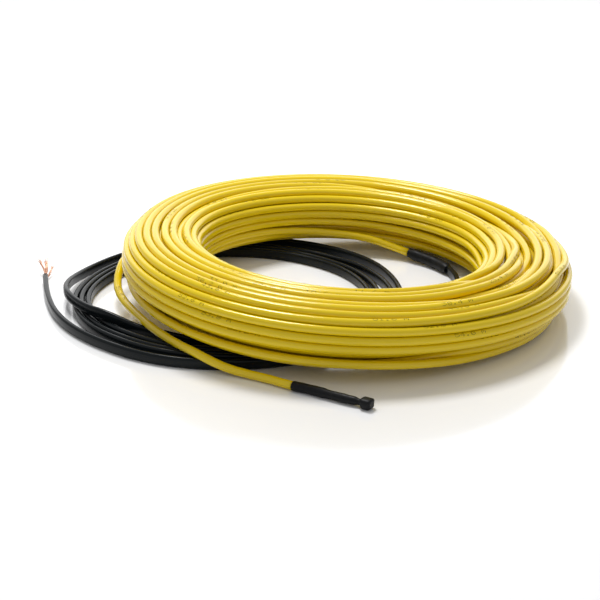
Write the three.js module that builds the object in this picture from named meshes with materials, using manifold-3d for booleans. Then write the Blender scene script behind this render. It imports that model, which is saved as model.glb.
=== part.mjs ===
import * as THREE from 'three';
import { mergeVertices } from 'three/addons/utils/BufferGeometryUtils.js';
import Module from 'manifold-3d';

// A coil of twin-conductor heating cable with its flat cold lead, lying on a level surface.
// Millimetres, +Z up. Everything is placed from the axis of the heating cable's coil, and
// the finished group is then moved so that the middle of its underside is the origin.

// Driving dimensions
const CABLE_DIAMETER = 6.9;
const COIL_OUTER_RADIUS = 190.8;
const COIL_INNER_RADIUS = 112.7;
const COIL_HEIGHT = 53.1;
const COIL_ROUNDNESS = 3;
const TURN_GROOVE_DEPTH = 2.2;
const LEAD_WIDTH = 9.0;
const LEAD_THICKNESS = 4.8;
const LEAD_COIL_OUTER_RADIUS = 138;
const LEAD_COIL_INNER_RADIUS = 110;
const LEAD_TURNS = 4;
const LEAD_GROOVE_FLOOR = 3;
const LEAD_COIL_CENTRE = new THREE.Vector2(-97, -11);
const SPLICE_LENGTH = 50;
const SPLICE_DIAMETER = 10;
const SEAL_SLEEVE_LENGTH = 58;
const SEAL_SLEEVE_DIAMETER = 7.6;
const SEAL_HEAD_LENGTH = 9;
const SEAL_HEAD_WIDTH = 10;
const SEAL_HEAD_CORNER = 2.4;
const CONDUCTOR_DIAMETER = 1.8;
const CONDUCTOR_SPACING = 2.3;
const INNER_LEAD_LENGTH = 42;
const GAP = 0.3;

// How finely the round shapes are cut
const COIL_SEGMENTS = 44;
const POINTS_PER_TURN = 3;
const CORD_SIDES = 12;
const WIRE_SIDES = 8;

// Routes, as x, y, z of the centre line, from the coil's axis and the surface it lies on.
// The outer route leaves the coil at its left side, passes over the cold lead's coil and
// ends in the end seal.
const OUTER_ROUTE = [
  [-193.4, 24, 27.5],
  [-195.0, 11, 23],
  [-195.8, -2, 18.5],
  [-194.2, -16, 15.5],
  [-190.5, -29.5, 14],
  [-185.2, -43.5, 13.2],
  [-177.0, -61, 12.9],
  [-167.2, -80.5, 12.8],
  [-156.0, -101, 12.8],
  [-142.8, -121, 12.8],
  [-132.6, -134.5, 12.8],
  [-122.0, -146.5, 12.8],
  [-111.5, -155, 10.6],
  [-100.0, -160.8, 7.2],
  [-88.5, -165.3, 4.8],
  [-76.5, -170.6, 3.9],
  [-62.4, -178.6, 3.9],
  [-48.8, -188.1, 3.9],
  [-36.0, -195.6, 3.9],
  [-25.0, -202, 3.9],
  [-7.0, -212, 3.9],
  [12.6, -224.6, 3.9],
];
// The inner route leaves the coil's inner wall, passes through the splice, and joins the
// cold lead's coil from outside.
const INNER_ROUTE = [
  [22, 108.6, 18],
  [34, 105.6, 14.4],
  [45, 101.8, 11.4],
  [54, 97.5, 9.3],
  [62, 92.5, 7.9],
  [73, 84, 6.6],
  [83, 73, 5.8],
  [91, 60, 5.3],
  [96, 46, 4.8],
  [98, 30, 4.8],
  [96, 10, 4.8],
  [89, -12, 4.8],
  [77, -33, 4.8],
  [62, -52, 4.8],
  [44, -68, 4.8],
  [27.5, -82.5, 4.8],
  [12.3, -99.9, 4.8],
];
// The cold lead's free end leaves the outside of its coil and lies beside it.
const FREE_END_ROUTE = [
  [-171.6, -130.8, 4.8],
  [-191.4, -116, 4.8],
  [-208, -100.5, 4.8],
  [-222.5, -83.5, 4.8],
  [-235, -64, 4.8],
  [-245.5, -41, 4.8],
  [-253.5, -15.5, 4.8],
  [-259.5, 10, 4.8],
  [-264.5, 38, 4.8],
];
// The bared conductors fan out past the end of the sheath: the offsets of each one's middle
// and tip from where it starts.
const CONDUCTOR_FANS = {
  copper_conductor_1: [[-4, 14, 2], [-10, 29, 5]],
  copper_conductor_2: [[-1, 14, 3], [-3, 26, 8]],
  earth_screen: [[1.5, 12, 1], [3, 23, 5]],
};

const wasm = await Module();
wasm.setup();

const yellowSheath = new THREE.MeshStandardMaterial({ color: 0xc8b41e, roughness: 0.38, metalness: 0 });
const blackSheath = new THREE.MeshStandardMaterial({ color: 0x1e2426, roughness: 0.42, metalness: 0 });
const shrinkSleeve = new THREE.MeshStandardMaterial({ color: 0x17191b, roughness: 0.6, metalness: 0 });
const bareCopper = new THREE.MeshStandardMaterial({ color: 0xc98a6a, roughness: 0.35, metalness: 1 });

// The rounded outline of the wound section: a superellipse of the coil's width and height.
class SectionOutline extends THREE.Curve {
  getPoint(t, target = new THREE.Vector2()) {
    const angle = 2 * Math.PI * t;
    const bend = (value) => Math.sign(value) * Math.abs(value) ** (2 / COIL_ROUNDNESS);
    const halfWidth = (COIL_OUTER_RADIUS - COIL_INNER_RADIUS) / 2;
    const middle = (COIL_OUTER_RADIUS + COIL_INNER_RADIUS) / 2;
    return target.set(
      middle + halfWidth * bend(Math.cos(angle)),
      (COIL_HEIGHT / 2) * bend(Math.sin(angle)),
    );
  }
}

// A ring with its axis on Z, from a closed profile of radius and height.
function turnedRing(profile) {
  const ring = new THREE.LatheGeometry([...profile, profile[0].clone()], COIL_SEGMENTS);
  ring.rotateX(Math.PI / 2);
  return ring;
}

// The coil's section with a rounded ridge for each turn that lies at its surface.
function coilProfile() {
  const outline = new SectionOutline();
  outline.arcLengthDivisions = 2000;
  const ridges = Math.round(outline.getLength() / CABLE_DIAMETER);
  const count = ridges * POINTS_PER_TURN;
  const base = outline.getSpacedPoints(count).slice(0, count);
  return base.map((point, i) => {
    if (i % POINTS_PER_TURN !== 0) return point;
    const along = base[(i + 1) % count].clone().sub(base[(i + count - 1) % count]).normalize();
    const inward = new THREE.Vector2(-along.y, along.x);
    return point.clone().addScaledVector(inward, TURN_GROOVE_DEPTH);
  });
}

// How far the coil's underside rises above its lowest level at a given radius.
function undersideRise(radius) {
  const halfWidth = (COIL_OUTER_RADIUS - COIL_INNER_RADIUS) / 2;
  const share = Math.abs(radius - (COIL_OUTER_RADIUS + COIL_INNER_RADIUS) / 2) / halfWidth;
  if (share >= 1) return Infinity;
  return (COIL_HEIGHT / 2) * (1 - (1 - share ** COIL_ROUNDNESS) ** (1 / COIL_ROUNDNESS));
}

// The least space left between the leaning coil's underside and the top of the cold lead's
// coil. The heating cable's coil touches the floor on its right, at the middle of its width.
function spaceOverLead(lean) {
  const footRadius = (COIL_OUTER_RADIUS + COIL_INNER_RADIUS) / 2;
  let least = Infinity;
  for (let degrees = 0; degrees < 360; degrees += 3) {
    const angle = THREE.MathUtils.degToRad(degrees);
    for (let r = LEAD_COIL_INNER_RADIUS; r <= LEAD_COIL_OUTER_RADIUS; r += LEAD_THICKNESS / 2) {
      const x = LEAD_COIL_CENTRE.x + r * Math.cos(angle);
      const y = LEAD_COIL_CENTRE.y + r * Math.sin(angle);
      const underside = (footRadius - x) * Math.tan(lean) + undersideRise(Math.hypot(x, y));
      least = Math.min(least, underside - LEAD_WIDTH);
    }
  }
  return least;
}

// The lean at which the coil just clears the cold lead's coil that it rests on.
function restingLean() {
  let low = 0;
  let high = THREE.MathUtils.degToRad(20);
  for (let step = 0; step < 30; step += 1) {
    const middle = (low + high) / 2;
    if (spaceOverLead(middle) < GAP) low = middle;
    else high = middle;
  }
  return high;
}

// The cold lead's coil: flat lead standing on edge, one strand for each turn, with grooves
// between the strands.
function leadCoilProfile() {
  const pitch = (LEAD_COIL_OUTER_RADIUS - LEAD_COIL_INNER_RADIUS - LEAD_THICKNESS) / (LEAD_TURNS - 1);
  const corner = LEAD_THICKNESS / 4;
  const profile = [
    new THREE.Vector2(LEAD_COIL_INNER_RADIUS, 0),
    new THREE.Vector2(LEAD_COIL_OUTER_RADIUS, 0),
  ];
  for (let turn = LEAD_TURNS - 1; turn >= 0; turn -= 1) {
    const inside = LEAD_COIL_INNER_RADIUS + turn * pitch;
    const outside = inside + LEAD_THICKNESS;
    if (turn < LEAD_TURNS - 1) profile.push(new THREE.Vector2(outside, LEAD_GROOVE_FLOOR));
    profile.push(new THREE.Vector2(outside, LEAD_WIDTH - corner));
    profile.push(new THREE.Vector2(outside - corner, LEAD_WIDTH));
    profile.push(new THREE.Vector2(inside + corner, LEAD_WIDTH));
    profile.push(new THREE.Vector2(inside, LEAD_WIDTH - corner));
    if (turn > 0) profile.push(new THREE.Vector2(inside, LEAD_GROOVE_FLOOR));
  }
  return profile;
}

function routeCurve(route) {
  return new THREE.CatmullRomCurve3(route.map((point) => new THREE.Vector3(...point)), false, 'centripetal');
}

// The stretch of a curve between two distances along it.
class Stretch extends THREE.Curve {
  constructor(curve, from, to) {
    super();
    this.curve = curve;
    this.from = from;
    this.to = to;
  }

  getPoint(t, target = new THREE.Vector3()) {
    const distance = this.from + (this.to - this.from) * t;
    return this.curve.getPointAt(Math.min(distance / this.curve.getLength(), 1), target);
  }
}

function roundSection(diameter, sides) {
  const corners = [];
  for (let i = 0; i < sides; i += 1) {
    const angle = (2 * Math.PI * i) / sides;
    corners.push(new THREE.Vector2((diameter / 2) * Math.cos(angle), (diameter / 2) * Math.sin(angle)));
  }
  return new THREE.Shape(corners);
}

// The flat lead's section, standing on edge, with round edges.
function leadSection() {
  const radius = LEAD_THICKNESS / 2;
  const straight = LEAD_WIDTH / 2 - radius;
  const corners = [];
  for (let i = 0; i < CORD_SIDES; i += 1) {
    const angle = -Math.PI / 2 + (Math.PI * (i % (CORD_SIDES / 2))) / (CORD_SIDES / 2 - 1);
    const side = i < CORD_SIDES / 2 ? 1 : -1;
    corners.push(new THREE.Vector2(
      side * (straight + radius * Math.cos(angle)),
      side * radius * Math.sin(angle),
    ));
  }
  return new THREE.Shape(corners);
}

function tube(section, curve, steps) {
  return new THREE.ExtrudeGeometry(section, { steps, bevelEnabled: false, extrudePath: curve });
}

function named(name, geometry, material) {
  const mesh = new THREE.Mesh(geometry, material);
  mesh.name = name;
  return mesh;
}

function toSolid(geometry) {
  const bare = geometry.clone();
  bare.deleteAttribute('normal');
  bare.deleteAttribute('uv');
  const merged = mergeVertices(bare, 1e-4);
  return new wasm.Manifold(new wasm.Mesh({
    numProp: 3,
    vertProperties: new Float32Array(merged.attributes.position.array),
    triVerts: new Uint32Array(merged.index.array),
  }));
}

function toGeometry(solid) {
  const mesh = solid.getMesh();
  const geometry = new THREE.BufferGeometry();
  geometry.setAttribute('position', new THREE.BufferAttribute(mesh.vertProperties, 3));
  geometry.setIndex(new THREE.BufferAttribute(mesh.triVerts, 1));
  geometry.computeVertexNormals();
  return geometry;
}

const group = new THREE.Group();

// The heating cable's coil, leaning on the cold lead's coil, with its lowest point on the
// floor
const heatingCoil = named('heating_cable_coil', turnedRing(coilProfile()), yellowSheath);
heatingCoil.rotation.y = restingLean();
heatingCoil.position.z = -new THREE.Box3().setFromObject(heatingCoil, true).min.z;
group.add(heatingCoil);

// The cold lead's coil, flat on the floor
const leadCoil = named('cold_lead_coil', turnedRing(leadCoilProfile()), blackSheath);
leadCoil.position.set(LEAD_COIL_CENTRE.x, LEAD_COIL_CENTRE.y, 0);
group.add(leadCoil);

// The loose outer end of the heating cable
const outerCurve = routeCurve(OUTER_ROUTE);
const headStart = outerCurve.getLength() - SEAL_HEAD_LENGTH;
const sleeveStart = headStart - SEAL_SLEEVE_LENGTH;
const cableSection = roundSection(CABLE_DIAMETER, CORD_SIDES);
group.add(named(
  'heating_cable_tail',
  tube(cableSection, new Stretch(outerCurve, 0, sleeveStart - GAP), 22),
  yellowSheath,
));

// The end seal: a shrunk sleeve that closes in a squarish head
const sleeve = tube(
  roundSection(SEAL_SLEEVE_DIAMETER, CORD_SIDES),
  new Stretch(outerCurve, sleeveStart, headStart + SEAL_HEAD_CORNER),
  6,
);
const headShape = new THREE.Shape([
  new THREE.Vector2(-SEAL_SLEEVE_DIAMETER / 2, -SEAL_HEAD_WIDTH / 2 + SEAL_HEAD_CORNER),
  new THREE.Vector2(-SEAL_SLEEVE_DIAMETER / 2 + SEAL_HEAD_CORNER, -SEAL_HEAD_WIDTH / 2),
  new THREE.Vector2(SEAL_SLEEVE_DIAMETER / 2 - SEAL_HEAD_CORNER, -SEAL_HEAD_WIDTH / 2),
  new THREE.Vector2(SEAL_SLEEVE_DIAMETER / 2, -SEAL_HEAD_WIDTH / 2 + SEAL_HEAD_CORNER),
  new THREE.Vector2(SEAL_SLEEVE_DIAMETER / 2, SEAL_HEAD_WIDTH / 2 - SEAL_HEAD_CORNER),
  new THREE.Vector2(SEAL_SLEEVE_DIAMETER / 2 - SEAL_HEAD_CORNER, SEAL_HEAD_WIDTH / 2),
  new THREE.Vector2(-SEAL_SLEEVE_DIAMETER / 2 + SEAL_HEAD_CORNER, SEAL_HEAD_WIDTH / 2),
  new THREE.Vector2(-SEAL_SLEEVE_DIAMETER / 2, SEAL_HEAD_WIDTH / 2 - SEAL_HEAD_CORNER),
]);
const head = tube(headShape, new Stretch(outerCurve, headStart, outerCurve.getLength()), 1);
group.add(named('end_seal', toGeometry(toSolid(sleeve).add(toSolid(head))), shrinkSleeve));

// The inner end of the heating cable, its splice, and the cold lead on its way to its coil
const innerCurve = routeCurve(INNER_ROUTE);
const spliceStart = INNER_LEAD_LENGTH + GAP;
const spliceEnd = spliceStart + SPLICE_LENGTH;
group.add(named(
  'heating_cable_inner_end',
  tube(cableSection, new Stretch(innerCurve, 0, INNER_LEAD_LENGTH), 4),
  yellowSheath,
));
group.add(named(
  'splice_sleeve',
  tube(roundSection(SPLICE_DIAMETER, CORD_SIDES), new Stretch(innerCurve, spliceStart, spliceEnd), 4),
  shrinkSleeve,
));
group.add(named(
  'cold_lead_run',
  tube(leadSection(), new Stretch(innerCurve, spliceEnd + GAP, innerCurve.getLength()), 14),
  blackSheath,
));

// The free end of the cold lead, with its bared conductors one above the other
group.add(named('cold_lead_free_end', tube(leadSection(), routeCurve(FREE_END_ROUTE), 14), blackSheath));
const sheathEnd = new THREE.Vector3(...FREE_END_ROUTE.at(-1));
const endDirection = routeCurve(FREE_END_ROUTE).getTangentAt(1);
Object.entries(CONDUCTOR_FANS).forEach(([name, offsets], i) => {
  const start = sheathEnd.clone().addScaledVector(endDirection, GAP);
  start.z += (1 - i) * CONDUCTOR_SPACING;
  const points = [start, start.clone().addScaledVector(endDirection, CONDUCTOR_DIAMETER)];
  offsets.forEach((offset) => points.push(start.clone().add(new THREE.Vector3(...offset))));
  const curve = new THREE.CatmullRomCurve3(points, false, 'centripetal');
  group.add(named(name, tube(roundSection(CONDUCTOR_DIAMETER, WIRE_SIDES), curve, 6), bareCopper));
});

// The middle of the underside becomes the origin
const bounds = new THREE.Box3().setFromObject(group, true);
const middle = bounds.getCenter(new THREE.Vector3());
group.position.set(-middle.x, -middle.y, -bounds.min.z);
group.updateMatrixWorld(true);

export default group;
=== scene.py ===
import bpy
import numpy as np
from bpy.props import FloatProperty, FloatVectorProperty, IntProperty, PointerProperty
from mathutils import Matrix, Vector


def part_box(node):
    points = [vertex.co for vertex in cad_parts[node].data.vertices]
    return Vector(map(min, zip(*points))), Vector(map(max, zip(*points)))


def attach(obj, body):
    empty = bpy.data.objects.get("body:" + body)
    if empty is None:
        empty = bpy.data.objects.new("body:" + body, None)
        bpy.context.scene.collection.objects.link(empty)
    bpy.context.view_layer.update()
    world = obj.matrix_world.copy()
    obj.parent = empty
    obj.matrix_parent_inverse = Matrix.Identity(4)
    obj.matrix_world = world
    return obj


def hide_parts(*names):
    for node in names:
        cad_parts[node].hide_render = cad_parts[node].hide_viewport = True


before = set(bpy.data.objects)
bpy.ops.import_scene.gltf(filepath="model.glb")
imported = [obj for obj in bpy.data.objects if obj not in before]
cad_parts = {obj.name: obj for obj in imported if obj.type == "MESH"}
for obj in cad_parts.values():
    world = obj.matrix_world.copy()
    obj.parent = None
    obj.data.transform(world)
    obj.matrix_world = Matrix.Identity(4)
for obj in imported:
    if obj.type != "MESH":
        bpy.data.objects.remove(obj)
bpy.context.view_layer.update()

bl_info = {
    "name": "Heating Cable Coil",
    "version": (1, 0, 0),
    "blender": (4, 5, 0),
    "location": "View3D > Sidebar > Cable Coil",
    "description": "Winds a coil of heating cable with its cold lead, end seal and splice",
    "category": "Add Mesh",
}

MM = 0.001

# The heating cable's coil in the frame: its middle, and its own axes, which lean with it.
coil_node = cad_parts["heating_cable_coil"]
coil_points = np.array([v.co for v in coil_node.data.vertices], float)
coil_low, coil_high = (np.array(corner, float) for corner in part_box("heating_cable_coil"))
coil_middle = (coil_low + coil_high) / 2
coil_up = np.linalg.svd(coil_points - coil_points.mean(axis=0), full_matrices=False)[2][2]
coil_up = coil_up * np.sign(coil_up[2])
coil_right = np.cross([0.0, 1.0, 0.0], coil_up)
coil_right /= np.linalg.norm(coil_right)
coil_axes = np.stack([coil_right, np.cross(coil_up, coil_right), coil_up])
coil_local = (coil_points - coil_middle) @ coil_axes.T
coil_radii = np.hypot(coil_local[:, 0], coil_local[:, 1])
coil_outer_radius = float(coil_radii.max())
coil_inner_radius = float(coil_radii.min())
coil_height = float(np.ptp(coil_local[:, 2]))
lead_low, lead_high = (np.array(corner, float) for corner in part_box("cold_lead_coil"))
lead_middle = (lead_low + lead_high) / 2

# The origin of the routes: the axis of the heating cable's coil, on the floor.
route_origin = np.array([coil_middle[0], coil_middle[1], 0.0])
# The heating cable's loose end, from the coil's left side over the lead's coil to the end seal.
OUTER_ROUTE = MM * np.array([
    [-193.4, 24, 27.5], [-195.0, 11, 23], [-195.8, -2, 18.5], [-194.2, -16, 15.5],
    [-190.5, -29.5, 14], [-185.2, -43.5, 13.2], [-177.0, -61, 12.9], [-167.2, -80.5, 12.8],
    [-156.0, -101, 12.8], [-142.8, -121, 12.8], [-132.6, -134.5, 12.8], [-122.0, -146.5, 12.8],
    [-111.5, -155, 10.6], [-100.0, -160.8, 7.2], [-88.5, -165.3, 4.8], [-76.5, -170.6, 3.9],
    [-62.4, -178.6, 3.9], [-48.8, -188.1, 3.9], [-36.0, -195.6, 3.9], [-25.0, -202, 3.9],
    [-7.0, -212, 3.9], [12.6, -224.6, 3.9],
])
# From the coil's bore: the heating cable's inner end, the splice and the lead's run on the floor.
INNER_ROUTE = MM * np.array([
    [22, 108.6, 18], [34, 105.6, 14.4], [45, 101.8, 11.4], [54, 97.5, 9.3], [62, 92.5, 7.9],
    [73, 84, 6.6], [83, 73, 5.8], [91, 60, 5.3], [96, 46, 4.8], [98, 30, 4.8], [96, 10, 4.8],
    [89, -12, 4.8], [77, -33, 4.8], [62, -52, 4.8], [44, -68, 4.8], [27.5, -82.5, 4.8],
    [12.3, -99.9, 4.8],
])
# The points of that route that lie before the lead's run climbs.
RUN_POINTS = 14
# Where the lead's run climbs over the outermost strand of its own coil.
ENTRY_ROUTE = MM * np.array([
    [50.5, -55.2, 9.9], [36.5, -60.2, 13.9], [26.0, -71.0, 13.5], [16.6, -85.0, 9.2],
])
# The lead's turns: degrees clockwise from where the run reaches the coil, the distance from the
# lead coil's middle, and how far the lead is lifted off the floor, both in millimetres.
LEAD_TURNS = [
    (0, 134.8, 0), (50, 130.5, 0), (90, 129.5, 0), (115, 131.8, 0), (140, 134.2, 0), (200, 131, 0),
    (250, 128.4, 0), (274, 129.4, 0), (286, 133.0, 0), (297, 134.4, 0), (312, 136.2, 0),
    (326, 135.4, 0), (346, 131.0, 0), (360, 129.0, 0), (410, 124.8, 0), (450, 123.9, 0),
    (475, 126.4, 0), (500, 128.9, 0), (560, 125.6, 0), (610, 121.4, 0), (632, 119.8, 0),
    (654, 122.6, 0), (672, 124.3, 0), (720, 123.2, 0), (770, 117.6, 0), (810, 116.2, 0),
    (835, 119.4, 0), (860, 123.2, 0), (920, 119.5, 0), (955, 115.4, 0), (991, 114.4, 0),
    (1015, 115.2, 0), (1031, 116.2, 0), (1080, 115.0, 0), (1110, 110, 0), (1135, 103.5, 0),
    (1152, 98.6, 0), (1160, 98.0, 0.05), (1169, 99.4, 0.1), (1174, 101.6, 0.4), (1178, 104.8, 1.6),
    (1182, 109.6, 4.4), (1186.5, 115, 7.4), (1191, 120.6, 9.2), (1195.5, 125.6, 9.4), (1203, 131.6, 9.4),
    (1210, 136.8, 9.4), (1214, 139.4, 9.3), (1218, 141.3, 8.8), (1222.5, 142.8, 7.6), (1227, 143.9, 6.0),
    (1232, 144.8, 4.3), (1239, 145.7, 2.1), (1247, 146.4, 0.6), (1258, 147.0, 0), (1290, 148.3, 0),
    (1317, 149, 0), (1357, 149, 0), (1367, 148, 0), (1383, 145, 0), (1392, 144, 0), (1420, 143.4, 0),
    (1440, 142, 0), (1523, 141.2, 0),
]
# The lead's free end, beside its coil.
FREE_END_ROUTE = MM * np.array([
    [-171.6, -130.8, 4.8], [-191.4, -116, 4.8], [-208, -100.5, 4.8], [-222.5, -83.5, 4.8],
    [-235, -64, 4.8], [-245.5, -41, 4.8], [-253.5, -15.5, 4.8], [-259.5, 10, 4.8],
    [-264.5, 38, 4.8],
])
# The space between pieces that meet.
GAP = 0.3 * MM
# How far the lowest point of a fitting stays off the floor.
CLEARANCE = 0.1 * MM
# How far the lead's underside stays off the floor.
LEAD_CLEARANCE = 0.02 * MM

# The heating cable's coil: the turns in each column of its section, from the bore outwards, and
# the rounds in which its places and then its turns are worked out, the last of them gentler.
SECTION_COLUMNS = (4, 5, 6, 5, 5, 5, 5, 5, 5, 5, 5, 4)
RESTING_ROUNDS = 400
SETTLING_ROUNDS = 260
LAST_ROUNDS = 25
# The stations over which a turn leaves its held end for its place.
EASING_STATIONS = 11
# The distance between rings along each cord.
CABLE_RING_SPACING = 9.95 * MM
LEAD_RING_SPACING = 6.5 * MM

# The lead's coil, in degrees: where its turns start around it, the first of its even steps and
# their size, the stretch in which the last turn climbs, whose points lie closer together, the
# first even step after it, and where the turns end.
LEAD_START = -40.0
LEAD_FIRST = 8.0
LEAD_STEP = 11.0
CLIMB_START = 1160.0
CLIMB_END = 1250.0
AFTER_CLIMB = 1258.0
LEAD_LAST = 1523.0
# The radius of the lead's corners, the points around its section, and about its girth.
LEAD_CORNER = 2.35 * MM
LEAD_SECTION_POINTS = 24
LEAD_GIRTH = 24 * MM

# The length marks on each metre of the heating cable.
MARKS_PER_METRE = 5
# The printed dots: their steps along and around the cable, and their own half length, half
# width, half height and depth under the sheath's surface.
DOT_STEP = 0.78 * MM
DOT_ROW = 0.46 * MM
DOT_LENGTH = 0.42 * MM
DOT_WIDTH = 0.3 * MM
DOT_HEIGHT = 0.085 * MM
DOT_DEPTH = 0.02 * MM

# The strands of the bared conductors, and how finely they and the fittings are cut.
WIRE_RADIUS = 0.27 * MM
WIRE_SIDES = 6
WIRE_RINGS = 22
FITTING_SIDES = 28

# Figures in rows from the top, each row's five dots as the bits of a number.
GLYPHS = {
    "0": (14, 17, 19, 21, 25, 17, 14), "1": (4, 12, 4, 4, 4, 4, 14), "2": (14, 17, 1, 2, 4, 8, 31),
    "3": (31, 2, 4, 2, 1, 17, 14), "4": (2, 6, 10, 18, 31, 2, 2), "5": (31, 16, 30, 1, 1, 17, 14),
    "6": (6, 8, 16, 30, 17, 17, 14), "7": (31, 1, 2, 4, 8, 8, 8), "8": (14, 17, 17, 14, 17, 17, 14),
    "9": (14, 17, 17, 15, 1, 2, 12), "m": (0, 0, 26, 21, 21, 17, 17), ".": (0, 0, 0, 0, 0, 12, 12),
    " ": (0, 0, 0, 0, 0, 0, 0),
}

# The bared conductors: the piece and the solid that it stands for, where it starts above the
# lead's middle, two points on its way from the lead's end, all in millimetres, and its strands.
FANS = [
    ("first_strands", "copper_conductor_1", 2.3, ([-4, 14, 2], [-10, 29, 5]), 11),
    ("second_strands", "copper_conductor_2", 0.0, ([-1, 14, 3], [-3, 26, 8]), 11),
    ("screen_strands", "earth_screen", -2.3, ([1.5, 12, 1], [3, 23, 5]), 9),
]


class HeatingCableSettings(bpy.types.PropertyGroup):
    """Sizes and colours of the heating cable and its coil."""

    diameter: FloatProperty(
        name="Diameter", description="Diameter of the round cable", default=6.9 * MM, unit="LENGTH")
    turns: IntProperty(
        name="Turns", description="Whole turns in the coil", default=58)
    stations: IntProperty(
        name="Stations", description="Points worked out on each turn", default=90)
    sides: IntProperty(
        name="Sides", description="Faces around the cable", default=16)
    roundness: FloatProperty(
        name="Roundness", description="Power of the wound section's rounded outline", default=3.0)
    wander: FloatProperty(
        name="Wander", description="How far a turn strays from its place", default=1.4 * MM, unit="LENGTH")
    bore_bulge: FloatProperty(
        name="Bore bulge", description="How much narrower the wound ring is at its narrowest place",
        default=11 * MM, unit="LENGTH")
    bulge_angle: FloatProperty(
        name="Bulge angle", description="Where the ring is narrowest, around the coil's axis",
        subtype="ANGLE", default=float(np.radians(168)))
    bulge_spread: FloatProperty(
        name="Bulge spread", description="How far around the narrower part reaches",
        subtype="ANGLE", default=float(np.radians(45)))
    seed: IntProperty(
        name="Seed", description="Seed of the winding's irregularity", default=4)
    sheath: FloatVectorProperty(
        name="Sheath", description="Colour of the sheath", subtype="COLOR", default=(0.82, 0.60, 0.003))
    ink: FloatVectorProperty(
        name="Ink", description="Colour of the printed metre marks", subtype="COLOR",
        default=(0.045, 0.035, 0.004))


class ColdLeadSettings(bpy.types.PropertyGroup):
    """Sizes and colours of the flat cold lead."""

    width: FloatProperty(
        name="Width", description="Width of the flat lead", default=9.0 * MM, unit="LENGTH")
    thickness: FloatProperty(
        name="Thickness", description="Thickness of the flat lead", default=4.8 * MM, unit="LENGTH")
    sheath: FloatVectorProperty(
        name="Sheath", description="Colour of the lead's sheath", subtype="COLOR",
        default=(0.0045, 0.0065, 0.0075))
    copper: FloatVectorProperty(
        name="Copper", description="Colour of the bared conductors", subtype="COLOR",
        default=(0.66, 0.37, 0.25))


class FittingSettings(bpy.types.PropertyGroup):
    """Sizes of the shrunk fittings on the cable."""

    seal_length: FloatProperty(
        name="Seal length", description="Length of the end seal's sleeve", default=58 * MM, unit="LENGTH")
    seal_diameter: FloatProperty(
        name="Seal diameter", description="Diameter of the end seal's sleeve", default=7.6 * MM,
        unit="LENGTH")
    head_length: FloatProperty(
        name="Head length", description="Length of the end seal's head", default=9 * MM, unit="LENGTH")
    head_width: FloatProperty(
        name="Head width", description="Width of the end seal's head", default=9.5 * MM, unit="LENGTH")
    splice_length: FloatProperty(
        name="Splice length", description="Length of the splice sleeve", default=50 * MM, unit="LENGTH")
    splice_diameter: FloatProperty(
        name="Splice diameter", description="Diameter of the splice sleeve", default=10 * MM,
        unit="LENGTH")
    inner_end: FloatProperty(
        name="Inner end", description="Heating cable between the coil and the splice",
        default=42 * MM, unit="LENGTH")
    rubber: FloatVectorProperty(
        name="Rubber", description="Colour of the shrunk sleeves", subtype="COLOR",
        default=(0.006, 0.0065, 0.0075))


class StageSettings(bpy.types.PropertyGroup):
    """The camera, the floor and the lights."""

    camera_place: FloatVectorProperty(
        name="Camera place", description="Camera from the coil's axis on the floor",
        subtype="TRANSLATION", unit="LENGTH", default=(-0.0398, -1.2576, 0.4893))
    camera_drop: FloatProperty(
        name="Camera drop", description="How far the camera looks down", subtype="ANGLE",
        default=float(np.radians(21.324)))
    camera_lens: FloatProperty(
        name="Lens", description="Focal length on a sensor 36 mm wide, in millimetres", default=93.99)
    floor_size: FloatProperty(
        name="Floor", description="Side of the floor", default=12.0, unit="LENGTH")
    floor_colour: FloatVectorProperty(
        name="Floor colour", description="Colour of the floor", subtype="COLOR",
        default=(0.96, 0.96, 0.965))
    room_light: FloatProperty(
        name="Room light", description="Strength of the pale room around the object", default=0.5)


# Curves and surfaces


def smooth_route(points, spacing):
    """A centripetal Catmull-Rom curve through the points, read at even distances.

    Between two points the curve blends three straight interpolations whose knots are apart by
    the square root of the distance between points, so that it never loops or overshoots."""
    first = 2 * points[0] - points[1]
    last = 2 * points[-1] - points[-2]
    p = np.vstack([first, points, last])
    knots = np.concatenate([[0.0], np.cumsum(np.sqrt(np.linalg.norm(np.diff(p, axis=0), axis=1)))])
    share = np.linspace(0, 1, 40, endpoint=False)[None, :, None]
    p0, p1, p2, p3 = (p[i:len(p) - 3 + i][:, None] for i in range(4))
    t0, t1, t2, t3 = (knots[i:len(p) - 3 + i][:, None, None] for i in range(4))
    t = t1 + (t2 - t1) * share
    a1 = ((t1 - t) * p0 + (t - t0) * p1) / (t1 - t0)
    a2 = ((t2 - t) * p1 + (t - t1) * p2) / (t2 - t1)
    a3 = ((t3 - t) * p2 + (t - t2) * p3) / (t3 - t2)
    b1 = ((t2 - t) * a1 + (t - t0) * a2) / (t2 - t0)
    b2 = ((t3 - t) * a2 + (t - t1) * a3) / (t3 - t1)
    dense = (((t2 - t) * b1 + (t - t1) * b2) / (t2 - t1)).reshape(-1, 3)
    return evenly(np.vstack([dense, points[-1]]), spacing)


def distances(path):
    """The distance along a path of each of its points."""
    return np.concatenate([[0.0], np.cumsum(np.linalg.norm(np.diff(path, axis=0), axis=1))])


def read_at(values, along, wanted):
    """Rows of values that are given along a path, read between them at the wanted distances."""
    return np.stack([np.interp(wanted, along, values[:, axis]) for axis in range(3)], axis=-1)


def at_distances(path, wanted):
    """The points of a path at the wanted distances along it."""
    return read_at(path, distances(path), wanted)


def evenly(path, spacing):
    """The path again, with points about the spacing apart."""
    length = distances(path)[-1]
    return at_distances(path, np.linspace(0, length, max(2, int(round(length / spacing)) + 1)))


def cut(path, start, end):
    """The stretch of a path between two distances along it."""
    along = distances(path)
    inside = along[(along > start + 1e-5) & (along < end - 1e-5)]
    return at_distances(path, np.concatenate([[start], inside, [end]]))


def eased(share):
    """A share from 0 to 1 that starts and ends gently: three of its squares less two cubes."""
    return share * share * (3 - 2 * share)


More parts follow.
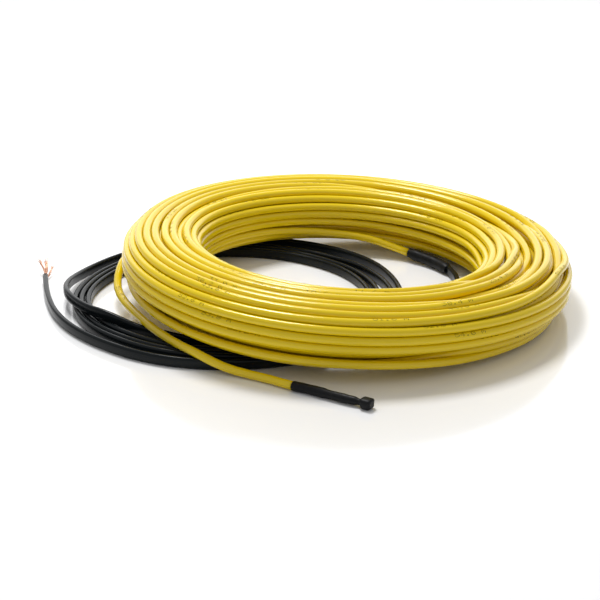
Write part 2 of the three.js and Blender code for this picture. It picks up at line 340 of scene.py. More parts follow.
def tube_faces(rows, columns):
    """The faces of a closed tube of rings: four-sided ones between rings, and a fan at each end.

    After the rings' points come the middle of the first ring and the middle of the last."""
    here = np.arange(columns)
    after = (here + 1) % columns
    row = np.arange(rows - 1)[:, None] * columns
    quads = np.stack([row + here, row + after, row + columns + after, row + columns + here], axis=-1)
    tail = (rows - 1) * columns
    middle = np.full(columns, rows * columns)
    fans = np.concatenate([
        np.stack([middle, after, here], axis=-1),
        np.stack([middle + 1, tail + here, tail + after], axis=-1),
    ])
    return quads.reshape(-1, 4), fans


def new_mesh(name, points, quads, fans):
    """A mesh of both kinds of faces, of which the four-sided ones are shaded smooth."""
    mesh = bpy.data.meshes.new(name)
    mesh.from_pydata(points.tolist(), [], quads.tolist() + fans.tolist())
    mesh.polygons.foreach_set("use_smooth", np.arange(len(mesh.polygons)) < len(quads))
    mesh.update()
    return mesh


def grown_mesh(name, rings, uv_lengths, seam_width):
    """A closed tube from a grid of rings: rows along the path, columns around it.

    rings is an array of rows by columns by 3. Each end closes on a point in the middle of its
    ring. The UV map holds the distance along, and the share of the way around times the
    seam's width."""
    rows, columns = rings.shape[:2]
    points = np.vstack([rings.reshape(-1, 3), rings[0].mean(axis=0), rings[-1].mean(axis=0)])
    quads, fans = tube_faces(rows, columns)
    mesh = new_mesh(name, points, quads, fans)
    u0 = np.repeat(uv_lengths[:-1], columns)
    u1 = np.repeat(uv_lengths[1:], columns)
    v0 = np.tile(np.arange(columns) / columns, rows - 1)
    v1 = v0 + 1 / columns
    quad_uv = np.stack([u0, v0, u0, v1, u1, v1, u1, v0], axis=-1).reshape(-1, 2)
    fan_uv = np.zeros((columns * 6, 2))
    fan_uv[:columns * 3, 0] = uv_lengths[0]
    fan_uv[columns * 3:, 0] = uv_lengths[-1]
    uv = np.vstack([quad_uv, fan_uv])
    uv[:, 1] *= seam_width
    mesh.uv_layers.new(name="along").data.foreach_set("uv", uv.ravel())
    return mesh


def bundle_mesh(name, rings):
    """One mesh of many thin closed tubes: rings is strands by rows by columns by 3."""
    strands, rows, columns = rings.shape[:3]
    points = np.concatenate([rings.reshape(strands, -1, 3), rings[:, :1].mean(axis=2),
                             rings[:, -1:].mean(axis=2)], axis=1)
    quads, fans = tube_faces(rows, columns)
    shift = (np.arange(strands) * points.shape[1])[:, None, None]
    quads = (quads[None] + shift).reshape(-1, 4)
    fans = (fans[None] + shift).reshape(-1, 3)
    return new_mesh(name, points.reshape(-1, 3), quads, fans)


def path_axes(path):
    """Three unit vectors at each point: along the path, level across it, and square to both."""
    forward = np.gradient(path, axis=0)
    forward /= np.linalg.norm(forward, axis=1, keepdims=True)
    across = np.cross(forward, [0.0, 0.0, 1.0])
    across /= np.linalg.norm(across, axis=1, keepdims=True)
    return forward, across, np.cross(across, forward)


def swept_rings(path, sides, ups):
    """Rings of a section carried along a path.

    At each point the section's two axes are level across the path and square to both. sides and
    ups hold the offsets along these axes: one row for all rings, or one row for each."""
    _, across, upward = path_axes(path)
    return path[:, None] + across[:, None] * sides[..., None] + upward[:, None] * ups[..., None]


def stadium_section(half_across, half_up, corner, count):
    """Offsets of an upright rounded bar: quarter circles, moved out to the bar's corners."""
    angle = -2 * np.pi * (np.arange(count) + 0.5) / count
    side = np.cos(angle)
    up = np.sin(angle)
    return (corner * side + np.sign(side) * (half_across - corner),
            corner * up + np.sign(up) * (half_up - corner))


def round_section(radius, count):
    """Offsets of a circle: cosine and sine of even steps around it."""
    angle = -2 * np.pi * np.arange(count) / count
    return radius * np.cos(angle), radius * np.sin(angle)


def squarish_section(half_across, half_up, power, count):
    """Offsets of superellipses: signed powers of cosine and sine, one row for each size."""
    angle = -2 * np.pi * np.arange(count)[None] / count
    side, up = (np.sign(wave) * np.abs(wave) ** (2 / power[:, None])
                for wave in (np.cos(angle), np.sin(angle)))
    return half_across[:, None] * side, half_up[:, None] * up


def raised(path, ups):
    """The path, raised wherever its section would come too close to the floor."""
    low = ups.min(axis=1) + path[:, 2]
    lift = np.clip(CLEARANCE - low, 0, None)
    return path + lift[:, None] * np.array([0.0, 0.0, 1.0])


def placed(name, mesh, material):
    """A new object of the mesh, at the origin, riding on the part's only body."""
    piece = bpy.data.objects.new(name, mesh)
    bpy.context.scene.collection.objects.link(piece)
    mesh.materials.append(material)
    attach(piece, "root")
    return piece


# The winding


def into_coil(points):
    """Radius, angle and height of points, measured in the leaning coil's own axes."""
    local = (points - coil_middle) @ coil_axes.T
    return np.hypot(local[:, 0], local[:, 1]), np.arctan2(local[:, 1], local[:, 0]), local[:, 2]


def out_of_coil(radius, angle, height):
    """Points in the frame, from radius, angle and height in the leaning coil's own axes."""
    local = np.stack([radius * np.cos(angle), radius * np.sin(angle), height], axis=-1)
    return local @ coil_axes + coil_middle


class Section:
    """The wound section: where the middles of the turns may lie, from its own middle."""

    def __init__(self, cable):
        self.gap = cable.diameter
        self.middle = (coil_outer_radius + coil_inner_radius) / 2
        self.half = np.array([
            (coil_outer_radius - coil_inner_radius - cable.diameter) / 2,
            (coil_height - cable.diameter) / 2,
        ])
        self.power = cable.roundness

    def kept_in(self, places, bulge=0.0):
        """Places outside the rounded outline are drawn back to it, towards the middle.

        bulge is how far the ring's bore bulges into the section there."""
        middle = np.stack([bulge / 2 + np.zeros(len(places)), np.zeros(len(places))], axis=-1)
        half = self.half - middle
        away = places - middle
        reach = (np.abs(away / half) ** self.power).sum(axis=-1) ** (1 / self.power)
        return middle + away / np.maximum(reach, 1.0)[..., None]

    def resting_places(self, random):
        """A place for each turn, column by column from the bore outwards, up and down in turn.

        Places closer than a diameter push each other apart until they lie side by side."""
        room = 1.03 * self.gap
        yielding = 0.3
        scatter = 0.4 * MM
        columns = len(SECTION_COLUMNS)
        places = []
        for column, count in enumerate(SECTION_COLUMNS):
            share = 0.98 * (2 * column / (columns - 1) - 1)
            reach = self.half[1] * (1 - min(abs(share), 0.97) ** self.power) ** (1 / self.power)
            heights = np.linspace(-reach, reach, count)
            if column % 2:
                heights = heights[::-1]
            places += [(share * self.half[0], height) for height in heights]
        places = np.array(places)
        places += random.normal(0, scatter, places.shape)
        for _ in range(RESTING_ROUNDS):
            between = places[:, None] - places[None]
            apart = np.sqrt((between ** 2).sum(-1)) + np.eye(len(places))
            push = np.clip(room - apart, 0, None) / apart
            places = self.kept_in(places + yielding * (between * push[..., None]).sum(1))
        return places

    def settled(self, target, bulge, free, inside, stations):
        """Turns that push each other apart where they meet, while the cable stays smooth.

        Each round moves two turns that are closer than a diameter at one station apart by half
        of what is missing, draws every point towards the middle of its two neighbours on the
        cable and a little towards its target, and keeps it in the section. free is 0 where the
        cable is held. The last rounds smooth less and leave the targets out."""
        room = 1.01 * self.gap
        yielding = 0.55
        smoothing, last_smoothing = 0.45, 0.15
        pull = 0.012
        places = target.copy()
        count = len(places)
        rows = -(-count // stations)
        spare = rows * stations - count
        hold = np.concatenate([free, np.zeros(spare)]).reshape(rows, stations, 1)
        far_off = np.full((spare, 2), 9.0)
        for step in range(SETTLING_ROUNDS):
            grid = np.concatenate([places, far_off]).reshape(rows, stations, 2)
            move = np.zeros_like(grid)
            for turn in range(1, rows):
                between = grid[turn:] - grid[:-turn]
                apart = np.sqrt((between ** 2).sum(-1, keepdims=True)) + 1e-9
                push = between * np.clip(room - apart, 0, None) / apart
                shares = np.maximum(hold[turn:] + hold[:-turn], 1e-6)
                move[turn:] += push * hold[turn:] / shares
                move[:-turn] -= push * hold[:-turn] / shares
            places = places + yielding * move.reshape(-1, 2)[:count] * free[:, None]
            middles = (places[:-2] + places[2:]) / 2
            ending = step >= SETTLING_ROUNDS - LAST_ROUNDS
            strength = last_smoothing if ending else smoothing
            places[1:-1] += strength * (middles - places[1:-1]) * free[1:-1, None]
            if not ending:
                places += pull * (target - places) * free[:, None]
            places = np.where(inside[:, None], self.kept_in(places, bulge), places)
        return places


def crossing_order(count, random):
    """The order in which the places are wound: some near ones change places, so turns cross."""
    order = np.arange(count)
    turn = 3
    while turn < count - 3:
        if random.random() < 0.4:
            other = turn + (1 if random.random() < 0.7 else 2)
            order[[turn, other]] = order[[other, turn]]
            turn += 2
        turn += 1
    return order


def changing_places(places, progress, random):
    """Where the cable lies as it winds: once a turn it eases from one place to the next.

    progress counts turns. Where the change begins drifts slowly from turn to turn, as a sine of
    summed random steps, and how much of the turn it takes is random."""
    steps = len(places) - 1
    drift = 0.5 + 0.38 * np.sin(1.3 * np.cumsum(random.normal(0, 0.09, len(places))))
    changes = np.maximum.accumulate(np.arange(steps) + drift[:-1])
    widths = random.uniform(0.24, 0.42, steps)
    share = eased(np.clip((progress[:, None] - changes) / widths, 0, 1))
    return places[0] + share @ np.diff(places, axis=0)


def wandering(count, random):
    """Slow strays of about unit size: random numbers smoothed by a bell-shaped window."""
    spread = 13.0
    reach = np.arange(-60, 61)
    bell = np.exp(-0.5 * (reach / spread) ** 2)
    bell /= np.sqrt((bell ** 2).sum())
    noise = random.normal(0, 1, (count, 2))
    return np.stack([np.convolve(noise[:, axis], bell, "same") for axis in range(2)], axis=-1)


def wound_path(cable, inner, outer):
    """The heating cable's centre line: the inner end, every turn of the coil, the loose end."""
    random = np.random.default_rng(cable.seed)
    section = Section(cable)
    inner_radius, inner_angle, inner_height = into_coil(inner)
    outer_radius, outer_angle, outer_height = into_coil(outer)
    inner_angle = np.unwrap(inner_angle)
    outer_angle = np.unwrap(outer_angle) % (2 * np.pi)
    outer_angle = np.unwrap(outer_angle) + 2 * np.pi * cable.turns
    angles = np.arange(inner_angle[0], outer_angle[-1], 2 * np.pi / cable.stations)
    leaving = np.searchsorted(angles, inner_angle[-1])
    arriving = np.searchsorted(angles, outer_angle[0])
    in_inner = angles < inner_angle[-1]
    held = np.stack([
        np.where(in_inner, np.interp(angles, inner_angle, inner_radius),
                 np.interp(angles, outer_angle, outer_radius)) - section.middle,
        np.where(in_inner, np.interp(angles, inner_angle, inner_height),
                 np.interp(angles, outer_angle, outer_height)),
    ], axis=-1)

    places = section.resting_places(random)
    places = places[crossing_order(len(places), random)]
    progress = (angles - angles[leaving]) / (2 * np.pi)
    wanted = changing_places(places, progress, random)
    strays = cable.wander * wandering(len(angles), random)
    turned = (angles - cable.bulge_angle + np.pi) % (2 * np.pi) - np.pi
    bulge = cable.bore_bulge * np.exp(-(turned / cable.bulge_spread) ** 2)
    wanted[:, 0] += bulge * (0.5 - wanted[:, 0] / (2 * section.half[0]))
    wanted = section.kept_in(wanted + strays, bulge)

    index = np.arange(len(angles))
    free = ((index >= leaving) & (index < arriving)).astype(float)
    from_inner = np.clip((index - leaving) / EASING_STATIONS, 0, 1)[:, None]
    from_outer = np.clip((arriving - index) / EASING_STATIONS, 0, 1)[:, None]
    inner_hold = held[max(leaving - 1, 0)]
    outer_hold = held[min(arriving, len(held) - 1)]
    wanted = inner_hold + (wanted - inner_hold) * eased(from_inner)
    wanted = outer_hold + (wanted - outer_hold) * eased(from_outer)
    wanted = np.where(free[:, None] > 0, wanted, held)
    inside = (index >= leaving + EASING_STATIONS) & (index < arriving - EASING_STATIONS)
    settled = section.settled(wanted, bulge, free, inside, cable.stations)
    turns = out_of_coil(section.middle + settled[:, 0], angles, settled[:, 1])
    return np.vstack([inner[:-1], turns[leaving + 1:arriving - 1], outer[1:]])


def coiled_path(cable, fitting):
    """The whole heating cable's centre line at even distances, from the splice to the seal."""
    spacing = 6 * MM
    inner = cut(smooth_route(route_origin + INNER_ROUTE, spacing), 0, fitting.inner_end)[::-1]
    outer = smooth_route(route_origin + OUTER_ROUTE, spacing)
    covered = fitting.seal_length + fitting.head_length + GAP
    outer = cut(outer, 0, distances(outer)[-1] - covered)
    return evenly(wound_path(cable, inner, outer), CABLE_RING_SPACING)


def lead_path(lead, fitting):
    """The cold lead's centre line from the splice: its run, its turns, and its free end.

    It winds clockwise. The run climbs over the outermost strand and goes down inside it. Three
    turns wind inwards on the floor, each a little inside the one before. The last turn climbs
    over them at the front left, lies outside them for the rest of the way and leaves."""
    over = route_origin + ENTRY_ROUTE
    lying = lead.width / 2 + LEAD_CLEARANCE
    turned, radius, lift = np.array(LEAD_TURNS).T
    climbing = turned[(turned >= CLIMB_START) & (turned < CLIMB_END)]
    steps = np.concatenate([np.arange(LEAD_FIRST, CLIMB_START, LEAD_STEP), climbing,
                            np.arange(AFTER_CLIMB, LEAD_LAST, LEAD_STEP)])
    radius = MM * np.interp(steps, turned, radius)
    heights = lying + MM * np.interp(steps, turned, lift)
    angle = np.radians(LEAD_START) - np.radians(steps)
    turns = np.stack([
        lead_middle[0] + radius * np.cos(angle),
        lead_middle[1] + radius * np.sin(angle),
        heights,
    ], axis=-1)
    end = route_origin + FREE_END_ROUTE[1:]
    end[:, 2] = lying
    start = route_origin + INNER_ROUTE[:RUN_POINTS]
    path = smooth_route(np.vstack([start, over, turns, end]), LEAD_RING_SPACING)
    path[:, 2] = np.maximum(path[:, 2], lying)
    return cut(path, fitting.inner_end + fitting.splice_length + 2 * GAP, distances(path)[-1])


def printed_dots(length):
    """Where the dots of the length marks lie: each mark's start, and the dot's column and row.

    A mark is the length in metres to a tenth, in figures five dots wide, seven high and one
    apart, and an m. A dot is printed where its bit of the figure's row is set."""
    figures = (np.array(list(GLYPHS.values()))[..., None] >> np.arange(4, -1, -1)) & 1
    letters = list(GLYPHS)
    tenths = 10 // MARKS_PER_METRE
    texts = [f"{mark // MARKS_PER_METRE:02d}.{tenths * (mark % MARKS_PER_METRE)} m"
             for mark in range(1, int(length * MARKS_PER_METRE))]
    wanted = np.array([[letters.index(letter) for letter in text] for text in texts])
    mark, place, row, column = np.nonzero(figures[wanted])
    return (mark + 1) / MARKS_PER_METRE, 6 * place + column, 6 - row


def dot_corners(path, radius):
    """The six corners of each printed dot: a flat diamond that just stands out of the sheath.

    A mark faces a way that drifts along the cable as a product of sines. Its dots lie in even
    steps along the cable and around it."""
    along = distances(path)
    forward, across, upward = path_axes(path)
    starts, columns, rows = printed_dots(along[-1])
    facing = np.radians(76 + 48 * np.sin(starts * 3.1) * np.cos(starts * 0.47 + 0.6))
    places = starts + columns * DOT_STEP
    turned = facing + (rows - 3) * DOT_ROW / radius
    out = (read_at(across, along, places) * np.cos(turned)[:, None]
           + read_at(upward, along, places) * np.sin(turned)[:, None])
    out /= np.linalg.norm(out, axis=1, keepdims=True)
    on = read_at(forward, along, places)
    on -= out * (on * out).sum(axis=1, keepdims=True)
    on /= np.linalg.norm(on, axis=1, keepdims=True)
    beside = np.cross(out, on)
    middle = read_at(path, along, places) + out * (radius - DOT_DEPTH)
    return np.stack([
        middle + DOT_LENGTH * on, middle + DOT_WIDTH * beside, middle - DOT_LENGTH * on,
        middle - DOT_WIDTH * beside, middle + DOT_HEIGHT * out, middle - DOT_HEIGHT * out,
    ], axis=1)


# The shapes of the fittings and the strands


def seal_rings(fitting):
    """The end seal's distances along and rings: a sleeve that closes in a squarish head.

    The sleeve is slimmer in its second half, sways a little as a sine, ripples as a sum of two
    sines, has a thin lip and pulls in at a waist before the head. There the section eases from
    round to squarish, and the head's far edge is rounded as an ellipse."""
    outer = smooth_route(route_origin + OUTER_ROUTE, 1.0 * MM)
    length = distances(outer)[-1]
    path = cut(outer, length - fitting.seal_length - fitting.head_length, length)
    path = evenly(path, 0.8 * MM)
    along = distances(path)
    sleeve = fitting.seal_length
    from_head = along - sleeve
    slimmer = eased(np.clip((along / sleeve - 0.42) / 0.16, 0, 1))
    body = fitting.seal_diameter / 2 * (1 - 0.10 * slimmer)
    sway = 0.7 * MM * np.sin(2 * np.pi * along / sleeve) * np.clip(-from_head / (9 * MM), 0, 1)
    path[:, 1] += sway * np.clip(along / (12 * MM), 0, 1)
    waist = 1 - 0.30 * np.exp(-((from_head + 1.5 * MM) / (3.4 * MM)) ** 2)
    ripple = 1 + 0.022 * np.sin(along / (2.9 * MM)) + 0.012 * np.sin(along / (1.35 * MM) + 1.0)
    lip = 1 - 0.05 * np.exp(-(along / (0.8 * MM)) ** 2)
    grown = eased(np.clip(from_head / (2.6 * MM) + 0.3, 0, 1))
    closing = np.clip((along[-1] - along) / (1.6 * MM), 0, 1)
    rounding = np.sqrt(1 - 0.62 * (1 - closing) ** 2)
    half = (body * waist * ripple * lip) * (1 - grown) + fitting.head_width / 2 * grown * rounding
    sides, ups = squarish_section(half, half * (1 - 0.14 * grown), 2.0 + 1.4 * grown, FITTING_SIDES)
    return along, swept_rings(raised(path, ups), sides, ups)


def splice_rings(fitting):
    """The splice sleeve's distances along and rings: a rippled sleeve with drawn-in ends.

    Its radius eases up from four fifths at both ends, and ripples as a sum of two sines."""
    inner = smooth_route(route_origin + INNER_ROUTE[:RUN_POINTS], 1.0 * MM)
    start = fitting.inner_end + GAP / 2
    path = evenly(cut(inner, start, start + fitting.splice_length + GAP), 0.9 * MM)
    along = distances(path)
    rise = eased(np.clip(np.minimum(along, along[-1] - along) / (7 * MM), 0, 1))
    ripple = 0.02 * np.sin(along / (3.3 * MM)) + 0.012 * np.sin(along / (1.5 * MM) + 2.0)
    half = fitting.splice_diameter / 2 * (0.80 + 0.20 * rise) * (1 + ripple * rise)
    sides, ups = squarish_section(half, half, np.full(len(half), 2.15), FITTING_SIDES)
    return along, swept_rings(raised(path, ups), sides, ups)


def strand_rings(start, middle, end, count, random):
    """The rings of one conductor's strands: they start packed in a spiral and flare apart."""
    root = route_origin + FREE_END_ROUTE[-1]
    forward = FREE_END_ROUTE[-1] - FREE_END_ROUTE[-2]
    forward /= np.linalg.norm(forward)
    above = np.array([0, 0, start])
    rings = []
    for strand in range(count):
        spin = 2.4 * strand
        spread = 0.17 * MM * np.sqrt(strand + 0.5)
        offset = spread * np.array([0.9 * np.cos(spin), 0.2 * np.sin(spin), np.sin(spin)])
        begin = root + above * MM + offset - 4 * MM * forward
        reach = random.uniform(0.82, 1.0)
        flare = random.normal(0, 0.8, 3) * MM
        bend = random.normal(0, 0.5, 3) * MM
        route = smooth_route(np.array([
            begin,
            begin + 4.2 * MM * forward,
            root + MM * (np.array(middle) + above) + offset + bend,
            root + MM * (reach * np.array(end) + above) + offset * 1.5 + flare,
        ]), 1 * MM)
        wire = at_distances(route, np.linspace(0, distances(route)[-1], WIRE_RINGS))
        rings.append(swept_rings(wire, *round_section(WIRE_RADIUS, WIRE_SIDES)))
    return np.array(rings)


# Materials


class Value:
    """A shader socket on which arithmetic adds Math nodes."""

    def __init__(self, shader, socket):
        self.shader = shader
        self.socket = socket

    def _math(self, operation, *inputs):
        return self.shader.node("ShaderNodeMath", {"operation": operation}, inputs)

    def __add__(self, other):
        return self._math("ADD", self, other)

    def __radd__(self, other):
        return self._math("ADD", other, self)

    def __mul__(self, other):
        return self._math("MULTIPLY", self, other)

    def __rmul__(self, other):
        return self._math("MULTIPLY", other, self)


class Shader:
    """A node material that is built by calls and arithmetic."""

    def __init__(self, name):
        self.material = bpy.data.materials.new(name)
        self.material.use_nodes = True
        self.tree = self.material.node_tree
        self.surface = self.tree.nodes["Principled BSDF"]

    def node(self, kind, settings=None, inputs=None, output=0):
        """One node: its settings first, then its inputs by place or name, as values or links."""
        made = self.tree.nodes.new(kind)
        for key, value in (settings or {}).items():
            setattr(made, key, value)
        pairs = inputs.items() if isinstance(inputs, dict) else enumerate(inputs or ())
        for key, value in pairs:
            if isinstance(value, Value):
                self.tree.links.new(value.socket, made.inputs[key])
            else:
                made.inputs[key].default_value = value
        return Value(self, made.outputs[output])

    def blend(self, share, low, high):
        """A colour between two, by a share from 0 to 1."""
        return self.node("ShaderNodeMix", {"data_type": "RGBA"}, {0: share, 6: low, 7: high}, 2)

    def noise(self, vector, scale, detail=3.0):
        return self.node("ShaderNodeTexNoise", {}, {"Vector": vector, "Scale": scale, "Detail": detail})

    def ramp(self, value, low, high):
        """The value's way from low to high, as 0 to 1."""
        return self.node("ShaderNodeMapRange", {"clamp": True}, {0: value, 1: low, 2: high, 3: 0.0, 4: 1.0})

    def stretched(self, vector, scales):
        return self.node("ShaderNodeMapping", {}, {"Vector": vector, "Scale": scales})

    def finish(self, **sockets):
        """Sets the surface's sockets, by their names with _ for a space."""
        for key, value in sockets.items():
            socket = self.surface.inputs[key.replace("_", " ")]
            if isinstance(value, Value):
                self.tree.links.new(value.socket, socket)
            else:
                socket.default_value = value
        return self.material

    def bump(self, height, strength, distance):
        inputs = {"Strength": strength, "Distance": distance, "Height": height}
        return self.node("ShaderNodeBump", {}, inputs)


def rgba(colour, factor=1.0):
    return tuple(min(1.0, c * factor) for c in colour) + (1.0,)


def heating_sheath(cable):
    """Smooth extruded sheath: slow changes of shade along the cable, and fine draw lines."""
    s = Shader("heating_sheath")
    uv = s.node("ShaderNodeUVMap", {"uv_map": "along"})
    slow = s.noise(s.stretched(uv, (4.0, 8.0, 1.0)), 1.0)
    lines = s.noise(s.stretched(uv, (12.0, 2600.0, 1.0)), 1.0, 2.0)
    shade = s.ramp(slow, 0.3, 0.7)
    colour = s.blend(shade, rgba(cable.sheath, 0.93), rgba(cable.sheath, 1.05))
    roughness = 0.12 + 0.05 * s.ramp(s.noise(s.stretched(uv, (40.0, 120.0, 1.0)), 1.0), 0.3, 0.7)
    return s.finish(
        Base_Color=colour,
        Roughness=roughness,
        Specular_IOR_Level=0.5,
        Normal=s.bump(lines, 0.12, 0.00012),
    )


def print_ink(cable):
    """Worn ink of the length marks, paler in patches."""
    s = Shader("print_ink")
    worn = s.noise(s.node("ShaderNodeTexCoord", {}, output=3), 260.0)
    colour = s.blend(s.ramp(worn, 0.4, 0.62), rgba(cable.ink), rgba(cable.sheath, 0.38))
    return s.finish(Base_Color=colour, Roughness=0.7, Specular_IOR_Level=0.1)


def lead_sheath(lead):
    """The lead's sheath: darker and a little duller, with faint draw lines."""
    s = Shader("cold_lead_sheath")
    uv = s.node("ShaderNodeUVMap", {"uv_map": "along"})
    slow = s.noise(s.stretched(uv, (9.0, 60.0, 1.0)), 1.0)
    lines = s.noise(s.stretched(uv, (10.0, 2400.0, 1.0)), 1.0, 2.0)
    colour = s.blend(s.ramp(slow, 0.3, 0.7), rgba(lead.sheath, 0.85), rgba(lead.sheath, 1.3))
    roughness = 0.19 + 0.08 * s.ramp(slow, 0.3, 0.7)
    return s.finish(
        Base_Color=colour,
        Roughness=roughness,
        Specular_IOR_Level=0.17,
        Normal=s.bump(lines, 0.12, 0.00012),
    )


def sleeve_rubber(fitting):
    """Shrunk sleeve: matt, with fine wrinkles around it, and painted shade: its colour is darker in the
    wrinkles' hollows and lighter on their crests.
    """
    s = Shader("shrink_sleeve")
    uv = s.node("ShaderNodeUVMap", {"uv_map": "along"})
    wrinkles = s.noise(s.stretched(uv, (420.0, 90.0, 1.0)), 1.0, 4.0)
    # Painted shade and highlight: the colour follows the wrinkles' height, darker in the hollows and
    # lighter on the crests.
    colour = s.blend(s.ramp(wrinkles, 0.35, 0.7), rgba(fitting.rubber, 0.8), rgba(fitting.rubber, 1.6))
    return s.finish(
        Base_Color=colour,
        Roughness=0.36 + 0.2 * s.ramp(wrinkles, 0.3, 0.7),
        Specular_IOR_Level=0.17,
        Normal=s.bump(wrinkles, 0.35, 0.0004),
    )


def bare_copper(lead):
    """Bright copper wire, a little darker in patches."""
    s = Shader("bare_copper")
    spots = s.noise(s.node("ShaderNodeTexCoord", {}, output=3), 900.0)
    colour = s.blend(s.ramp(spots, 0.35, 0.7), rgba(lead.copper), rgba(lead.copper, 0.72))
    return s.finish(Base_Color=colour, Metallic=1.0, Roughness=0.25 + 0.15 * s.ramp(spots, 0.3, 0.7))


def floor_paint(stage):
    """A plain pale floor with a soft gloss."""
    s = Shader("pale_floor")
    return s.finish(Base_Color=rgba(stage.floor_colour), Roughness=0.13, IOR=1.6)


# Operators


class COIL_OT_stage(bpy.types.Operator):
    """Make the camera, the pale floor and the soft lights"""

    bl_idname = "cable_coil.stage"
    bl_label = "Stage"

    def execute(self, context):
        stage = context.scene.coil_stage
        camera_data = bpy.data.cameras.new("camera")
        camera_data.lens = stage.camera_lens
        camera_data.sensor_width = 36.0
        camera = bpy.data.objects.new("camera", camera_data)
        camera.location = route_origin + np.array(stage.camera_place)
        camera.rotation_euler = (np.pi / 2 - stage.camera_drop, 0.0, 0.0)
        context.scene.collection.objects.link(camera)
        context.scene.camera = camera

        half = stage.floor_size / 2
        mesh = bpy.data.meshes.new("floor")
        mesh.from_pydata([(-half, -half, 0), (half, -half, 0), (half, half, 0), (-half, half, 0)], [],
                         [(0, 1, 2, 3)])
        mesh.materials.append(floor_paint(stage))
        floor = bpy.data.objects.new("floor", mesh)
        context.scene.collection.objects.link(floor)

        world = bpy.data.worlds.new("pale_room")
        world.use_nodes = True
        room = world.node_tree.nodes["Background"]
        room.inputs["Color"].default_value = (1.0, 1.0, 1.0, 1.0)
        room.inputs["Strength"].default_value = stage.room_light
        context.scene.world = world
        context.scene.view_settings.view_transform = "Standard"

        self.soft_light(context, "overhead_softbox", (-0.3, 0.5, 1.4), (0.46, 0.46), 17.0)
        self.soft_light(context, "back_wall", (0.0, 2.4, 1.0), (4.0, 1.6), 24.0)
        return {"FINISHED"}

    def soft_light(self, context, name, place, sides, watts):
        """An oblong area light that faces the foot of the coil's axis."""
        data = bpy.data.lights.new(name, "AREA")
        data.shape = "RECTANGLE"
        data.size = sides[0]
        data.size_y = sides[1]
        data.energy = watts
        light = bpy.data.objects.new(name, data)
        light.location = route_origin + np.array(place)
        toward = -np.array(place)
        spin = np.arctan2(toward[1], toward[0])
        drop = np.arccos(-toward[2] / np.linalg.norm(toward))
        light.rotation_euler = (drop, 0.0, spin - np.pi / 2)
        context.scene.collection.objects.link(light)


class COIL_OT_heating_cable(bpy.types.Operator):
    """Wind the heating cable from its splice to its end seal"""

    bl_idname = "cable_coil.heating_cable"
    bl_label = "Heating cable"

    def execute(self, context):
        cable = context.scene.coil_cable
        fitting = context.scene.coil_fittings
        path = coiled_path(cable, fitting)
        rings = swept_rings(path, *round_section(cable.diameter / 2, cable.sides))
        mesh = grown_mesh("heating_cable", rings, distances(path), np.pi * cable.diameter)
        piece = placed("heating_cable", mesh, heating_sheath(cable))
        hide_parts("heating_cable_coil", "heating_cable_tail", "heating_cable_inner_end")
        return {"FINISHED"}


class COIL_OT_end_seal(bpy.types.Operator):
    """Shrink the end seal on the heating cable's loose end"""

    bl_idname = "cable_coil.end_seal"
    bl_label = "End seal"

    def execute(self, context):
        fitting = context.scene.coil_fittings
        along, rings = seal_rings(fitting)
        mesh = grown_mesh("seal", rings, along, np.pi * fitting.seal_diameter)
        piece = placed("seal", mesh, sleeve_rubber(fitting))
        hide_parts("end_seal")
        return {"FINISHED"}


class COIL_OT_metre_marks(bpy.types.Operator):
    """Print a plain length mark on the heating cable at every fifth of a metre"""

    bl_idname = "cable_coil.metre_marks"
    bl_label = "Metre marks"

    def execute(self, context):
        cable = context.scene.coil_cable
        path = coiled_path(cable, context.scene.coil_fittings)
        corners = dot_corners(path, cable.diameter / 2)
        faces = np.array([[0, 1, 4], [1, 2, 4], [2, 3, 4], [3, 0, 4], [1, 0, 5], [2, 1, 5], [3, 2, 5],
                          [0, 3, 5]])
        faces = (faces[None] + 6 * np.arange(len(corners))[:, None, None]).reshape(-1, 3)
        mesh = bpy.data.meshes.new("metre_marks")
        mesh.from_pydata(corners.reshape(-1, 3).tolist(), [], faces.tolist())
        mesh.update()
        placed("metre_marks", mesh, print_ink(cable))
        return {"FINISHED"}


class COIL_OT_splice(bpy.types.Operator):
    """Shrink the splice sleeve over the joint of heating cable and cold lead"""

    bl_idname = "cable_coil.splice"
    bl_label = "Splice sleeve"

    def execute(self, context):
        fitting = context.scene.coil_fittings
        along, rings = splice_rings(fitting)
        mesh = grown_mesh("splice", rings, along, np.pi * fitting.splice_diameter)
        piece = placed("splice", mesh, sleeve_rubber(fitting))
        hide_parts("splice_sleeve")
        return {"FINISHED"}


class COIL_OT_conductors(bpy.types.Operator):
    """Fan out the strands of the three bared conductors"""

    bl_idname = "cable_coil.conductors"
    bl_label = "Bared conductors"

    def execute(self, context):
        lead = context.scene.coil_lead
        material = bare_copper(lead)
        random = np.random.default_rng(11)
        for name, node, start, (middle, end), count in FANS:
            mesh = bundle_mesh(name, strand_rings(start, middle, end, count, random))
            piece = placed(name, mesh, material)
            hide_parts(node)
        return {"FINISHED"}


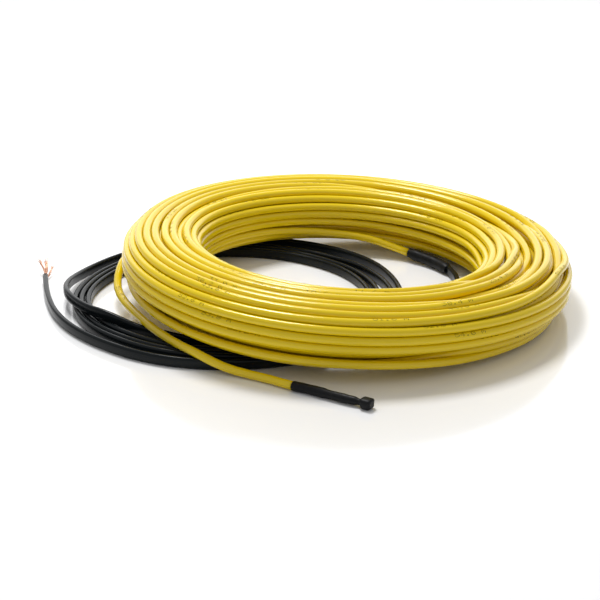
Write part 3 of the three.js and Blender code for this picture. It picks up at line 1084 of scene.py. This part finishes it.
class COIL_OT_cold_lead(bpy.types.Operator):
    """Lay the flat cold lead from the splice through its coil to its free end"""

    bl_idname = "cable_coil.cold_lead"
    bl_label = "Cold lead"

    def execute(self, context):
        lead = context.scene.coil_lead
        path = lead_path(lead, context.scene.coil_fittings)
        rings = swept_rings(path, *stadium_section(
            lead.thickness / 2, lead.width / 2, LEAD_CORNER, LEAD_SECTION_POINTS))
        mesh = grown_mesh("cold_lead", rings, distances(path), LEAD_GIRTH)
        piece = placed("cold_lead", mesh, lead_sheath(lead))
        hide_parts("cold_lead_run", "cold_lead_coil", "cold_lead_free_end")
        return {"FINISHED"}


class COIL_PT_panel(bpy.types.Panel):
    """The coil's settings and its operators."""

    bl_idname = "COIL_PT_panel"
    bl_label = "Heating cable coil"
    bl_space_type = "VIEW_3D"
    bl_region_type = "UI"
    bl_category = "Cable Coil"

    def draw(self, context):
        layout = self.layout
        for group in ("coil_cable", "coil_lead", "coil_fittings", "coil_stage"):
            settings = getattr(context.scene, group)
            box = layout.box()
            for name in settings.__annotations__:
                box.prop(settings, name)
        for operator in STEPS:
            layout.operator(operator.bl_idname)


STEPS = (
    COIL_OT_stage,
    COIL_OT_end_seal,
    COIL_OT_heating_cable,
    COIL_OT_metre_marks,
    COIL_OT_splice,
    COIL_OT_conductors,
    COIL_OT_cold_lead,
)
CLASSES = (
    HeatingCableSettings,
    ColdLeadSettings,
    FittingSettings,
    StageSettings,
    *STEPS,
    COIL_PT_panel,
)


def register():
    for made in CLASSES:
        bpy.utils.register_class(made)
    bpy.types.Scene.coil_cable = PointerProperty(type=HeatingCableSettings)
    bpy.types.Scene.coil_lead = PointerProperty(type=ColdLeadSettings)
    bpy.types.Scene.coil_fittings = PointerProperty(type=FittingSettings)
    bpy.types.Scene.coil_stage = PointerProperty(type=StageSettings)


def unregister():
    del bpy.types.Scene.coil_stage
    del bpy.types.Scene.coil_fittings
    del bpy.types.Scene.coil_lead
    del bpy.types.Scene.coil_cable
    for made in reversed(CLASSES):
        bpy.utils.unregister_class(made)


def main():
    register()
    bpy.ops.cable_coil.stage()
    bpy.ops.cable_coil.end_seal()
    bpy.ops.cable_coil.heating_cable()
    bpy.ops.cable_coil.metre_marks()
    bpy.ops.cable_coil.splice()
    bpy.ops.cable_coil.conductors()
    bpy.ops.cable_coil.cold_lead()


if __name__ == "__main__":
    main()
